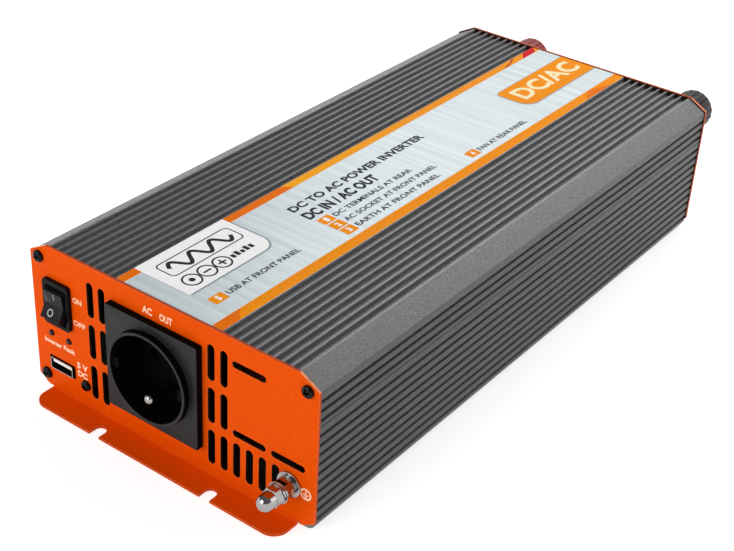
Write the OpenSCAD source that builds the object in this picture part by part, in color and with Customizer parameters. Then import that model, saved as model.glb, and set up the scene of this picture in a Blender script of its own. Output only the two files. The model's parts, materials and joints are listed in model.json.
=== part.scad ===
// Power inverter: a flat aluminium box with a ribbed case, two painted end panels with
// mounting flanges, a mains socket, a rocker switch and a USB port at the front, and a
// fan with two screw terminals at the rear.
// Frame: origin at the middle of the flat base, +X to the right and +Y to the back as
// seen from the front, +Z up. All sizes are in millimetres.

/* [Body] */
// Width of the two end panels
panel_w = 154; // [152:0.5:156]
// Height of the end panels above the base
panel_h = 73; // [72.5:0.1:74]
// Length over the outer faces of the two end panels
body_l = 321; // [319:1:330]
// Thickness of the end panels
panel_t = 1.2; // [1.2:0.1:1.6]
// Depth of the mounting flange in front of a panel
flange_d = 12.8; // [11:0.1:16]

/* [Case] */
// Width of the case
shell_w = 153; // [151:0.5:154]
// Height of the case at its rib tops
shell_h = 72.5; // [72:0.1:73]
// Height of the joint between the two case halves
split_z = 51; // [50.8:0.1:51.4]
// Pitch of the ribs on the top
rib_pitch = 4.25; // [4:0.05:4.3]
// Number of ribs on each side of the label
rib_count = 8; // [4:1:8]
// Pitch of the grooves on the lower half's sides
side_pitch = 4.5; // [4:0.1:4.5]

/* [Front fittings] */
// Width and height of the mains socket's plate
socket_w = 50; // [48:0.5:52]
// Height of the mains socket's centre
socket_z = 37.7; // [37:0.1:38.5]
// Angle through which the rocker tips between its two stops
rocker_travel = 22; // [12:1:22]
// Lift of the socket's shutter
shutter_travel = 6; // [5.8:0.1:6.2]

/* [Rear fittings] */
// Radius of a terminal's knob
knob_r = 10.5; // [10:0.1:12]
// Width of the fan's frame
fan_w = 60; // [56:1:60]
// Number of fan blades
blade_count = 7; // [5:1:9]

/* [Hidden] */
$fn = 64;
gap = 0.3;
front_y = -body_l / 2;
rear_y = body_l / 2;
shell_l = body_l - 2 * panel_t;
wall_t = 4;
roof_t = 4;
floor_t = 3;
inner_x = shell_w / 2 - wall_t;
channel_x = 71.8;
channel_top_z = 66.4;
channel_low_z = 7.2;
channel_r = 3.4;
side_groove_w = 1.9;
side_groove_floor_w = 0.8;
side_groove_d = 1.2;
panel_hole_r = 1.6;
screw_r = 1.2;
first_rib_x = 32.5;
rib_w = 0.9;
groove_d = 2;
chamfer_x = 9.5;
chamfer_z = 5.2;
land_x = 28.7;
slot_w = 3.8;
slot_l = 17;
flange_x = 68.5;
bend_r = 1;
mount_slot_x = 31;
mount_slot_r = 2.8;
mount_slot_d = 6.5;
socket_x = -5.8;
pin_spacing = 19;
earth_pin_drop = 10.5;
recess_r = 19.7;
recess_floor = 9;
rim_proud = 6.5;
boss_x = 12.5;
boss_z = 13.5;
shutter_low_z = -3.3;
shutter_top_z = 5.5;
spring_l = 2 * shutter_travel;
rocker_x = -61.5;
rocker_z = 46.7;
rocker_pivot = 1;
switch_w = 12.8;
switch_h = 18.8;
usb_x = -61.9;
usb_z = 14.6;
usb_w = 13.2;
usb_h = 5.7;
led_x = [-67.3, -56.9];
led_z = 29.9;
spacer_x = -47.6;
spacer_z = 11.5;
earth_x = 64.2;
earth_z = 18.4;
earth_r = 2.5;
earth_washer_r = 5.8;
red_x = -41.4;
black_x = 60.2;
terminal_z = 56;
stud_r = 4;
fan_x = 9;
fan_z = 35;
fan_d = 15;
fan_bore_r = fan_w / 2 - 1.5;
fan_hub_r = 12;
fan_hole = fan_w / 2 - 5;
fan_hole_r = 2.1;
pcb_z = 12;
pcb_t = 1.6;
pcb_top = pcb_z + pcb_t;
pcb_y = [-120, 142];
pcb_screw_y = [-112, -5, 96];
pcb_screw_x = 62;

// ---------- helpers ----------

// A cylinder along Y from y0 to y1, centred on x and z.
module y_rod(x, z, y0, y1, r) {
    translate([x, y0, z]) rotate([-90, 0, 0]) cylinder(h = y1 - y0, r = r);
}

// A hexagonal prism along Y, given by its width across flats.
module y_hex(x, z, y0, y1, flats) {
    translate([x, y0, z]) rotate([-90, 0, 0]) cylinder(h = y1 - y0, r = flats / sqrt(3), $fn = 6);
}

// A nut along Y, given by its width across flats, with its corners turned off at both ends.
module y_nut(x, z, y0, y1, flats) {
    h = y1 - y0;
    r = flats / sqrt(3);
    flat_r = 0.47 * flats;
    turned = [[0, 0], [flat_r, 0], [r, (r - flat_r) / 2], [r, h - (r - flat_r) / 2], [flat_r, h], [0, h]];
    intersection() {
        y_hex(x, z, y0, y1, flats);
        translate([x, y0, z]) rotate([-90, 0, 0]) rotate_extrude() polygon(turned);
    }
}

// A ring along Y.
module y_ring(x, z, y0, y1, r, bore) {
    difference() {
        y_rod(x, z, y0, y1, r);
        y_rod(x, z, y0 - 1, y1 + 1, bore);
    }
}

// Extrudes an outline drawn in X and Z from y0 to y1.
module along_y(y0, y1) {
    translate([0, y1, 0]) rotate([90, 0, 0]) linear_extrude(height = y1 - y0) children();
}

// Extrudes an outline drawn in Y and Z from x0 to x1.
module along_x(x0, x1) {
    translate([x0, 0, 0]) rotate([90, 0, 90]) linear_extrude(height = x1 - x0) children();
}

// A box between two corners.
module block(low, high) {
    translate(low) cube(high - low);
}

// A slot with round ends, centred, drawn flat.
module slot(w, h) {
    r = min(w, h) / 2;
    square(w > h ? [w - 2 * r, h] : [w, h - 2 * r], center = true);
    for (s = [-1, 1]) translate(w > h ? [s * (w / 2 - r), 0] : [0, s * (h / 2 - r)]) circle(r);
}

// A rectangle with round corners, centred, drawn flat.
module round_rect(w, h, r) {
    square([w - 2 * r, h], center = true);
    square([w, h - 2 * r], center = true);
    for (x = [-1, 1], z = [-1, 1]) translate([x * (w / 2 - r), z * (h / 2 - r)]) circle(r);
}

// A pan head with a cross recess, standing on the XY plane.
module pan_head(r, h) {
    edge_h = 0.4 * h;
    dome = [for (a = [15:15:90]) [r * cos(a), edge_h + (h - edge_h) * sin(a)]];
    difference() {
        rotate_extrude() polygon(concat([[0, 0], [r, 0], [r, edge_h]], dome));
        for (a = [0, 90]) rotate([0, 0, a + 20]) translate([0, 0, h])
            cube([1.15 * r, 0.28 * r, 1.2 * h], center = true);
    }
}

// A machine screw: its head rests at y, pointing along dir (-1 faces the front).
module panel_screw(x, z, y, dir, head_r, head_h, shank_r, shank_l) {
    translate([x, y, z]) rotate([-90 * dir, 0, 0]) {
        pan_head(head_r, head_h);
        translate([0, 0, -shank_l]) cylinder(h = shank_l, r = shank_r);
    }
}

// ---------- case ----------

// Heights of the level grooves in the sides of the upper and the lower half, by their number i.
function upper_groove_z(i) = split_z + 2.7 + 4.4 * i;
function lower_groove_z(i) = split_z - 4.5 - side_pitch * i;

// One groove along each side, with slanted walls. Its mouth reaches past the shell's face.
module side_groove(z) {
    over = 0.5;
    slant = (side_groove_w - side_groove_floor_w) / 2 / side_groove_d;
    mouth = side_groove_w / 2 + over * slant;
    foot = side_groove_floor_w / 2;
    for (s = [-1, 1]) translate([s * shell_w / 2, z])
        polygon([[s * over, -mouth], [s * over, mouth],
            [-s * side_groove_d, foot], [-s * side_groove_d, -foot]]);
}

module screw_channels(z, r) {
    for (s = [-1, 1]) translate([s * channel_x, z]) circle(r);
}

module upper_outline() {
    w = shell_w / 2;
    polygon([
        [-w, split_z], [w, split_z], [w, shell_h - chamfer_z], [w - chamfer_x, shell_h],
        [chamfer_x - w, shell_h], [-w, shell_h - chamfer_z]
    ]);
}

module upper_cavity() {
    c = 5;
    roof = shell_h - roof_t;
    polygon([
        [-inner_x, split_z - 1], [inner_x, split_z - 1], [inner_x, roof - 2],
        [inner_x - c, roof], [c - inner_x, roof], [-inner_x, roof - 2]
    ]);
}

module top_grooves() {
    last_rib_x = first_rib_x + (rib_count - 1) * rib_pitch;
    depth_z = shell_h - groove_d;
    groove_w = rib_pitch - rib_w;
    for (s = [-1, 1]) {
        translate([s * (land_x + first_rib_x - rib_w / 2) / 2, depth_z + 5])
            square([first_rib_x - rib_w / 2 - land_x, 10], center = true);
        for (i = [0:rib_count - 2])
            translate([s * (first_rib_x + (i + 0.5) * rib_pitch), depth_z + 5])
                square([groove_w, 10], center = true);
        translate([s * (last_rib_x + rib_pitch / 2), depth_z + 5])
            square([groove_w, 10], center = true);
    }
}

module upper_shell() {
    lip_t = 1.5;
    lip_x = inner_x - 0.2 - lip_t;
    color("dimgray") along_y(-shell_l / 2, shell_l / 2) difference() {
        union() {
            difference() {
                upper_outline();
                upper_cavity();
            }
            intersection() {
                screw_channels(channel_top_z, channel_r);
                upper_outline();
            }
            for (s = [-1, 1]) {
                translate([s * (lip_x + lip_t / 2), split_z]) square([lip_t, 6], center = true);
                translate([s * (lip_x + 1), split_z + 2]) square([2, 2], center = true);
            }
        }
        top_grooves();
        for (i = [0:2]) side_groove(upper_groove_z(i));
        screw_channels(channel_top_z, screw_r + 0.05);
    }
}

module lower_outline(w, h, r) {
    translate([-w / 2, r]) square([w, h - r]);
    translate([r - w / 2, 0]) square([w - 2 * r, r + 0.01]);
    for (s = [-1, 1]) translate([s * (w / 2 - r), r]) circle(r);
}

module lower_shell() {
    edge_z = split_z - 0.4;
    corner_r = 4.5;
    color("dimgray") along_y(-shell_l / 2, shell_l / 2) difference() {
        union() {
            difference() {
                lower_outline(shell_w, edge_z, corner_r);
                translate([-inner_x, floor_t]) square([2 * inner_x, edge_z]);
            }
            screw_channels(channel_low_z, channel_r);
        }
        for (i = [0:9]) side_groove(lower_groove_z(i));
        screw_channels(channel_low_z, screw_r + 0.05);
    }
}

// ---------- end panels ----------

// The flat outline of a panel, in X and Z, down to where its flange bends. Beyond the flange,
// past a narrow relief cut, its lower corners reach almost to the base and are cut off aslant.
module panel_outline() {
    w = panel_w / 2;
    bend_z = panel_t + bend_r;
    relief_x = flange_x + 0.8;
    corner_x = flange_x + 2.6;
    corner_z = 1.2;
    shoulder_z = 4.9;
    polygon([
        [relief_x, bend_z], [relief_x, corner_z], [corner_x, corner_z], [w, shoulder_z],
        [w, panel_h - chamfer_z], [w - chamfer_x, panel_h], [chamfer_x - w, panel_h],
        [-w, panel_h - chamfer_z], [-w, shoulder_z], [-corner_x, corner_z],
        [-relief_x, corner_z], [-relief_x, bend_z]
    ]);
}

// The bent strip and flange, seen from the side, for a panel whose outer face is at y = 0.
module flange_section() {
    outer_r = bend_r + panel_t;
    translate([-flange_d, 0]) square([flange_d - bend_r, panel_t]);
    intersection() {
        translate([-bend_r, outer_r]) difference() {
            circle(outer_r);
            circle(bend_r);
        }
        translate([-bend_r, 0]) square([outer_r, outer_r]);
    }
}

// The flange seen from above, with its round corners and two open slots.
module flange_plan() {
    corner_r = 7;
    slot_y = mount_slot_d - mount_slot_r - flange_d;
    difference() {
        union() {
            translate([-flange_x, corner_r - flange_d]) square([2 * flange_x, flange_d]);
            translate([corner_r - flange_x, -flange_d])
                square([2 * (flange_x - corner_r), flange_d]);
            for (s = [-1, 1]) translate([s * (flange_x - corner_r), corner_r - flange_d])
                circle(corner_r);
        }
        for (s = [-1, 1]) translate([s * mount_slot_x, slot_y]) {
            circle(mount_slot_r);
            translate([-mount_slot_r, -flange_d]) square([2 * mount_slot_r, flange_d]);
        }
    }
}

// A bent panel whose outer face is at y = 0 and faces -Y; children are its holes.
module end_panel() {
    along_y(0, panel_t) difference() {
        panel_outline();
        children();
    }
    intersection() {
        along_x(-flange_x, flange_x) flange_section();
        linear_extrude(height = 10) flange_plan();
    }
}

// Upright vent slots: three rows beside the socket, and one row to the right below.
module upright_vents() {
    pitch = 6.65;
    row_z = [15.4, 36.1, 56.7];
    left_x = -42.5;
    right_x = 23.7;
    for (x = [left_x, left_x + pitch, right_x, right_x + pitch], z = row_z)
        translate([x, z]) slot(slot_w, slot_l);
    for (i = [2:5]) translate([right_x + i * pitch, row_z[0]]) slot(slot_w, slot_l);
}

// Level vent slots at the upper right.
module level_vents() {
    for (p = [[43.1, 61.5], [43.35, 28.6], [63, 28.6]]) translate(p) slot(slot_l, 3.2);
}

module front_panel_holes() {
    upright_vents();
    level_vents();
    translate([socket_x, socket_z]) circle(22.2);
    translate([rocker_x, rocker_z]) square([switch_w + 0.2, switch_h + 0.2], center = true);
    translate([usb_x, usb_z]) round_rect(usb_w + 2.4, usb_h + 1.1, 0.8);
    for (x = led_x) translate([x, led_z]) circle(panel_hole_r);
    translate([earth_x, earth_z]) circle(earth_r + 0.2);
    translate([spacer_x, spacer_z]) circle(panel_hole_r);
    for (p = [[-1, channel_top_z], [1, channel_top_z], [-1, channel_low_z]])
        translate([p[0] * channel_x, p[1]]) circle(panel_hole_r);
}

module front_panel() {
    color("orangered") translate([0, front_y, 0]) end_panel() front_panel_holes();
}

// Ring slots in front of the fan, left whole where four spokes cross them.
module fan_grille() {
    ring_w = 3;
    ring_pitch = 5.6;
    difference() {
        for (i = [0:3]) difference() {
            circle(fan_bore_r - 0.5 - i * ring_pitch);
            circle(fan_bore_r - 0.5 - ring_w - i * ring_pitch);
        }
        for (a = [45, 135]) rotate(a) square([2 * fan_w, 3.2], center = true);
    }
}

// The rear panel is drawn turned half round, so its X positions change sign.
module rear_panel_holes() {
    translate([-fan_x, fan_z]) {
        fan_grille();
        for (x = [-1, 1], z = [-1, 1]) translate([x * fan_hole, z * fan_hole]) circle(fan_hole_r);
    }
    for (x = [red_x, black_x]) translate([-x, terminal_z]) circle(6.2);
    for (s = [-1, 1], z = [channel_low_z, channel_top_z])
        translate([s * channel_x, z]) circle(panel_hole_r);
}

module rear_panel() {
    color("orangered") translate([0, rear_y, 0]) rotate([0, 0, 180]) end_panel() rear_panel_holes();
}

module case_screw(s, z, y, dir) {
    panel_screw(s * channel_x, z, y, dir, 2.7, 2, screw_r, 10);
}

module front_screws() {
    color("black") for (p = [[-1, channel_top_z], [1, channel_top_z], [-1, channel_low_z]])
        case_screw(p[0], p[1], front_y, -1);
}

module rear_screws() {
    color("black") for (s = [-1, 1], z = [channel_low_z, channel_top_z])
        case_screw(s, z, rear_y, 1);
}

module top_label() {
    label_w = 56.8;
    label_l = shell_l - 1;
    label_t = 0.3;
    color("lightsteelblue") translate([0, 0, shell_h + label_t / 2])
        cube([label_w, label_l, label_t], center = true);
}

// ---------- rocker switch ----------

module switch_housing() {
    bezel_d = 2;
    body_d = 13.5;
    well_d = 8.6;
    color("black") translate([rocker_x, front_y, rocker_z]) difference() {
        union() {
            along_y(-bezel_d, 0) translate([0, 0.4]) round_rect(switch_w + 2.4, switch_h + 3.2, 1.6);
            along_y(-0.01, body_d) square([switch_w, switch_h], center = true);
        }
        along_y(-bezel_d - 1, well_d) square([switch_w - 1.2, switch_h - 1.2], center = true);
        translate([-6.3, rocker_pivot, 0]) rotate([0, 90, 0]) cylinder(h = 12.6, r = 1.06);
    }
}

// The rocker rests with its upper half pressed in and its lower half standing out.
module rocker() {
    half_w = 5.5;
    half_h = 7.3;
    back_y = 3.5;
    centre_y = -3.9;
    tip_y = -5.9;
    tip_z = 6.3;
    color("black") translate([rocker_x, front_y + rocker_pivot, rocker_z])
        rotate([-rocker_travel / 2, 0, 0]) {
            along_x(-half_w, half_w) polygon([
                [centre_y, 0], [tip_y, tip_z], [tip_y + 1.7, half_h], [back_y, half_h],
                [back_y, -half_h], [tip_y + 1.7, -half_h], [tip_y, -tip_z]
            ]);
            translate([-6.1, 0, 0]) rotate([0, 90, 0]) cylinder(h = 12.2, r = 1);
        }
}

module switch_terminals() {
    color("silver") for (z = [-6, 0, 6])
        block([rocker_x - 2.4, front_y + 13.5, rocker_z + z - 0.4],
              [rocker_x + 2.4, front_y + 21, rocker_z + z + 0.4]);
}

// ---------- USB port and indicators ----------

board_y = front_y + 14.5;
board_t = 1.6;

module usb_shell() {
    wall = 0.35;
    color("silver") translate([usb_x, 0, usb_z]) difference() {
        along_y(front_y - 0.8, board_y) round_rect(usb_w, usb_h, 0.6);
        along_y(front_y - 2, board_y - 0.6) square([usb_w - 2 * wall, usb_h - 2 * wall], center = true);
    }
}

module usb_tongue() {
    color("white") translate([usb_x, 0, usb_z]) {
        block([-5.6, front_y - 0.2, 0.4], [5.6, board_y - 0.6, 2.2]);
        block([-6.25, front_y + 10, -2.5], [6.25, board_y - 0.6, 2.5]);
    }
}

module usb_contacts() {
    color("gold") for (x = [-3.5, -1, 1, 3.5])
        block([usb_x + x - 0.5, front_y + 0.8, usb_z + 0.1],
              [usb_x + x + 0.5, front_y + 9.8, usb_z + 0.4]);
}

module indicator_board() {
    color("darkgreen") difference() {
        union() {
            block([-67, board_y, 6], [-43, board_y + board_t, 35]);
            block([-71.5, board_y, 13], [-66, board_y + board_t, 35]);
        }
        y_rod(spacer_x, spacer_z, board_y - 1, board_y + 3, panel_hole_r);
    }
}

module board_spacer() {
    color("goldenrod") difference() {
        y_hex(spacer_x, spacer_z, front_y + panel_t, board_y, 5.5);
        y_rod(spacer_x, spacer_z, front_y, board_y + 1, 1.25);
    }
}

module spacer_screw() {
    color("black") {
        panel_screw(spacer_x, spacer_z, front_y, -1, 2.5, 2, 1.2, 7);
        panel_screw(spacer_x, spacer_z, board_y + board_t, 1, 2.6, 1.7, 1.2, 6);
    }
}

module indicator_leds() {
    lead_r = 0.25;
    color("darkred") for (x = led_x) {
        y_rod(x, led_z, front_y + 0.2, front_y + 4.5, 1.5);
        translate([x, front_y + 0.2, led_z]) sphere(r = 1.5);
        y_rod(x, led_z, front_y + 4.5, front_y + 5.5, 1.9);
        for (s = [-0.9, 0.9]) y_rod(x + s, led_z, front_y + 5.5, board_y, lead_r);
    }
}

// ---------- mains socket ----------

floor_y = front_y + recess_floor;
cover_y = front_y + 17.5;
contact_end_y = front_y + 33;
barrel_r = 21.8;

module at_socket() {
    translate([socket_x, 0, socket_z]) children();
}

module socket_pin_holes(y0, y1, r) {
    for (s = [-1, 1]) y_rod(s * pin_spacing / 2, 0, y0, y1, r);
}

module socket_boss_holes(y0, y1, r) {
    for (s = [-1, 1]) y_rod(s * boss_x, boss_z, y0, y1, r);
}

module socket_body() {
    plate_t = 3.4;
    key_x = 18.2;
    rim_y = front_y - rim_proud;
    color([0.12, 0.12, 0.12]) at_socket() difference() {
        union() {
            along_y(front_y - plate_t, front_y) round_rect(socket_w, socket_w, 0.9);
            y_rod(0, 0, rim_y, front_y, recess_r + 1.5);
            y_rod(0, 0, front_y - 0.01, floor_y, barrel_r);
        }
        difference() {
            y_rod(0, 0, rim_y - 1, floor_y + 1, recess_r);
            for (s = [-1, 1])
                block([s * key_x - 1.9, rim_y + 1.2, -2.6], [s * key_x + 1.9, floor_y + 1, 2.6]);
        }
    }
}

// The cup behind the recess: its floor has the pin holes, and the shutter slides inside it.
module socket_carrier() {
    rail_x = 14.3;
    chamber_y = floor_y + 2;
    color([0.12, 0.12, 0.12]) at_socket() difference() {
        y_rod(0, 0, floor_y, cover_y, barrel_r);
        difference() {
            y_rod(0, 0, chamber_y, cover_y + 1, recess_r);
            socket_boss_holes(chamber_y - 1, cover_y, 2.6);
            block([-3, chamber_y - 1, shutter_top_z + spring_l], [3, cover_y, recess_r + 1]);
            for (s = [-1, 1])
                block([s * rail_x - 0.6, chamber_y - 1, -6], [s * rail_x + 0.6, cover_y - 2, 9]);
        }
        socket_pin_holes(floor_y - 1, chamber_y + 1, 2.6);
        y_rod(0, -earth_pin_drop, floor_y - 1, chamber_y + 1, 2.45);
        socket_boss_holes(chamber_y + 1, cover_y + 1, 1.1);
    }
}

module socket_earth_pin() {
    pin_r = 2.4;
    tip_y = front_y - rim_proud + pin_r;
    color("silver") at_socket() {
        y_rod(0, -earth_pin_drop, tip_y, contact_end_y, pin_r);
        translate([0, tip_y, -earth_pin_drop]) sphere(r = pin_r);
    }
}

module socket_contacts() {
    color("goldenrod") at_socket() difference() {
        socket_pin_holes(front_y + 15, contact_end_y, 3.2);
        socket_pin_holes(front_y + 14, contact_end_y - 5, 2.45);
    }
}

// A plate behind both pin holes, with a tab on top that its spring bears on.
module socket_shutter() {
    half_w = 13.2;
    tab_w = 8;
    color("gray") at_socket() along_y(front_y + 11.4, front_y + 14.2) {
        translate([-half_w, shutter_low_z]) square([2 * half_w, -2 * shutter_low_z]);
        translate([-tab_w / 2, 0]) square([tab_w, shutter_top_z]);
    }
}

// The shutter's return spring: a wire swept along a helix about Z.
module shutter_spring() {
    turns = 6;
    steps = 14;
    sides = 6;
    wire_r = 0.25;
    coil_r = 1.6;
    low_z = shutter_top_z + wire_r;
    height = spring_l - 2 * wire_r;
    count = turns * steps;
    rings = [for (i = [0:count]) let (a = 360 * i / steps, z = low_z + height * i / count)
        for (k = [0:sides - 1]) let (b = 360 * k / sides, r = coil_r + wire_r * cos(b))
            [r * cos(a), r * sin(a), z + wire_r * sin(b)]];
    walls = [for (i = [0:count - 1], k = [0:sides - 1])
        [i * sides + k, i * sides + (k + 1) % sides, (i + 1) * sides + (k + 1) % sides,
         (i + 1) * sides + k]];
    first_cap = [for (k = [sides - 1:-1:0]) k];
    last_cap = [for (k = [0:sides - 1]) count * sides + k];
    color("lightgray") at_socket() translate([0, front_y + 12.8, 0])
        polyhedron(points = rings, faces = concat([first_cap], walls, [last_cap]));
}

module socket_rear_cover() {
    disc_t = 2;
    disc_r = 21.8;
    color([0.12, 0.12, 0.12]) at_socket() difference() {
        union() {
            y_rod(0, 0, cover_y, cover_y + disc_t, disc_r);
            block([-14.5, cover_y, -14], [14.5, contact_end_y - 3, 5]);
        }
        socket_pin_holes(cover_y - 1, contact_end_y, 3.25);
        y_rod(0, -earth_pin_drop, cover_y - 1, contact_end_y, 2.45);
        socket_boss_holes(cover_y - 1, cover_y + disc_t + 1, 1.3);
    }
}

module socket_cover_screws() {
    color("silver") at_socket() for (s = [-1, 1])
        panel_screw(s * boss_x, boss_z, cover_y + 2, 1, 2.2, 1.5, 1.05, 6);
}

// ---------- earth terminal ----------

module earth_stud() {
    color("silver") y_rod(earth_x, earth_z, front_y - 16, front_y + 11, earth_r);
}

module earth_washers() {
    color("silver") {
        y_ring(earth_x, earth_z, front_y - 1, front_y, earth_washer_r, earth_r + 0.1);
        y_ring(earth_x, earth_z, front_y - 7.2, front_y - 6.4, 4.9, earth_r + 0.1);
        y_ring(earth_x, earth_z, front_y + panel_t, front_y + panel_t + 1, earth_washer_r, earth_r + 0.1);
    }
}

// Split spring washers, each cut through at one side.
module earth_spring_washers() {
    color("silver") for (y = [front_y - 2, front_y - 8.2]) difference() {
        y_ring(earth_x, earth_z, y, y + 1, 4.5, earth_r + 0.1);
        block([earth_x + 1, y - 1, earth_z - 0.4], [earth_x + 6, y + 2, earth_z + 0.4]);
    }
}

module earth_nuts() {
    for_front = [front_y - 6.4, front_y - 2];
    for_inside = [front_y + panel_t + 1, front_y + panel_t + 5.4];
    color("silver") for (y = [for_front, for_inside]) difference() {
        y_nut(earth_x, earth_z, y[0], y[1], 8);
        y_rod(earth_x, earth_z, y[0] - 1, y[1] + 1, earth_r + 0.05);
    }
}

module earth_cap_nut() {
    hex_y = front_y - 8.2;
    dome_r = 3.7;
    color("silver") difference() {
        union() {
            y_nut(earth_x, earth_z, hex_y - 3.3, hex_y, 8);
            y_rod(earth_x, earth_z, hex_y - 6.2, hex_y - 3, dome_r);
            translate([earth_x, hex_y - 6.2, earth_z]) sphere(r = dome_r);
        }
        y_rod(earth_x, earth_z, hex_y - 8.1, hex_y + 1, earth_r + 0.05);
    }
}

// ---------- direct-current terminals ----------

// Distances outward from the rear panel's face.
base_h = 5;
collar_h = 2;
washer_out = base_h + collar_h + gap;
washer_t = 1.5;
knob_out = washer_out + washer_t + gap;
knob_l = 16;
insert_r = 6;
insert_l = 12;

module at_terminal(x) {
    translate([x, rear_y, terminal_z]) children();
}

module terminal_base() {
    difference() {
        union() {
            y_rod(0, 0, 0, base_h, 11.5);
            y_rod(0, 0, -panel_t, 0.01, 6);
        }
        y_rod(0, 0, -panel_t - 1, base_h + 1, stud_r + 0.05);
    }
}

module red_terminal_base() {
    color("firebrick") at_terminal(red_x) terminal_base();
}

module black_terminal_base() {
    color("black") at_terminal(black_x) terminal_base();
}

module terminal_inner_insulators() {
    color("ivory") for (x = [red_x, black_x]) at_terminal(x)
        y_ring(0, 0, -panel_t - 3, -panel_t, 9, stud_r + 0.05);
}

module terminal_studs() {
    color("goldenrod") for (x = [red_x, black_x]) at_terminal(x) {
        y_rod(0, 0, -13, base_h + collar_h + 14.5, stud_r);
        y_rod(0, 0, base_h, base_h + collar_h, 8);
    }
}

module terminal_nuts() {
    color("silver") for (x = [red_x, black_x]) at_terminal(x) difference() {
        y_nut(0, 0, -11, -6, 13);
        y_rod(0, 0, -12, -5, stud_r + 0.05);
    }
}

module clamp_washer(x) {
    at_terminal(x) y_ring(0, 0, washer_out, washer_out + washer_t, 9, stud_r + 0.06);
}

module red_clamp_washer() {
    color("goldenrod") clamp_washer(red_x);
}

module black_clamp_washer() {
    color("goldenrod") clamp_washer(black_x);
}

// A fluted hand nut with a rounded outer edge.
module knob(x) {
    flute_count = 18;
    edge_r = 2;
    edge = [for (a = [0:15:90]) [knob_r - edge_r + edge_r * cos(a), knob_l - edge_r + edge_r * sin(a)]];
    at_terminal(x) translate([0, knob_out, 0]) rotate([-90, 0, 0]) difference() {
        rotate_extrude() polygon(concat([[0, 0], [knob_r - 0.8, 0], [knob_r, 0.8]], edge, [[0, knob_l]]));
        translate([0, 0, -1]) cylinder(h = insert_l + 1, r = insert_r);
        cylinder(h = insert_l + 2.5, r = stud_r + 0.3);
        for (i = [0:flute_count - 1]) rotate([0, 0, 360 * i / flute_count])
            translate([knob_r + 0.5, 0, -1]) cylinder(h = knob_l + 2, r = 1.1);
    }
}

module red_knob() {
    color("crimson") knob(red_x);
}

module black_knob() {
    color("black") knob(black_x);
}

module knob_insert(x) {
    at_terminal(x) y_ring(0, 0, knob_out, knob_out + insert_l, insert_r, stud_r + 0.06);
}

module red_knob_insert() {
    color("goldenrod") knob_insert(red_x);
}

module black_knob_insert() {
    color("goldenrod") knob_insert(black_x);
}

// ---------- fan ----------

// Puts an axial piece, drawn with its inner side at z = 0, onto the rear panel's inside.
module at_fan() {
    translate([fan_x, rear_y - panel_t - fan_d, fan_z]) rotate([-90, 0, 0]) children();
}

module fan_frame() {
    strut_t = 2.4;
    color([0.15, 0.15, 0.15]) at_fan() difference() {
        union() {
            linear_extrude(height = fan_d) difference() {
                round_rect(fan_w, fan_w, 4);
                circle(fan_bore_r);
            }
            cylinder(h = strut_t, r = fan_hub_r);
            for (a = [45:90:315]) rotate([0, 0, a]) translate([fan_hub_r - 1, -1.5, 0])
                cube([fan_bore_r - fan_hub_r + 2, 3, strut_t]);
            cylinder(h = 5, r = 3.5);
        }
        translate([0, 0, 1]) cylinder(h = 6, r = 1.55);
        for (x = [-1, 1], y = [-1, 1]) translate([x * fan_hole, y * fan_hole, -1])
            cylinder(h = fan_d + 2, r = fan_hole_r);
    }
}

module fan_rotor() {
    hub_z = [5.4, 13.6];
    blade_r = fan_bore_r - 0.8;
    blade_t = 1.2;
    blade_w = 11;
    blade_pitch = 48;
    color([0.2, 0.2, 0.2]) at_fan() {
        translate([0, 0, 1.4]) cylinder(h = hub_z[1] - 1.4, r = 1.5);
        translate([0, 0, hub_z[0]]) cylinder(h = hub_z[1] - hub_z[0], r = fan_hub_r);
        intersection() {
            translate([0, 0, hub_z[0] - 1.4]) cylinder(h = 10, r = blade_r);
            for (i = [0:blade_count - 1]) rotate([0, 0, 360 * i / blade_count])
                translate([fan_hub_r - 1, 0, 9]) rotate([blade_pitch, 0, 0])
                    translate([0, -blade_w / 2, -blade_t / 2])
                        cube([blade_r - fan_hub_r + 4, blade_w, blade_t]);
        }
    }
}

module fan_screws() {
    color("black") for (x = [-1, 1], z = [-1, 1])
        panel_screw(fan_x + x * fan_hole, fan_z + z * fan_hole, rear_y, 1, 3.4, 2.1, 1.9, 16);
}

// ---------- circuit boards and power parts ----------

module pcb_screw_places() {
    for (s = [-1, 1], y = pcb_screw_y) translate([s * pcb_screw_x, y, 0]) children();
}

module main_pcb() {
    half_w = 71.5;
    color("darkgreen") difference() {
        block([-half_w, pcb_y[0], pcb_z], [half_w, pcb_y[1], pcb_top]);
        pcb_screw_places() translate([0, 0, pcb_z - 1]) cylinder(h = 4, r = 1.6);
    }
}

module pcb_standoffs() {
    color("goldenrod") pcb_screw_places() difference() {
        translate([0, 0, floor_t]) cylinder(h = pcb_z - floor_t, r = 3.2, $fn = 6);
        translate([0, 0, floor_t + 1]) cylinder(h = pcb_z, r = 1.25);
    }
}

module pcb_screws() {
    color("silver") pcb_screw_places() {
        translate([0, 0, pcb_top]) pan_head(2.8, 1.9);
        translate([0, 0, pcb_top - 7]) cylinder(h = 7, r = 1.2);
    }
}

transformer_y = 52;
transformer_x = [-42, 0, 42];

module transformer_cores() {
    color("darkslategray") for (x = transformer_x) translate([x, transformer_y, 0]) difference() {
        block([-19, -9, pcb_top + 2], [19, 9, pcb_top + 40]);
        for (s = [-1, 1]) block([s * 9.5 - 3.5, -10, pcb_top + 8], [s * 9.5 + 3.5, 10, pcb_top + 34]);
    }
}

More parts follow.
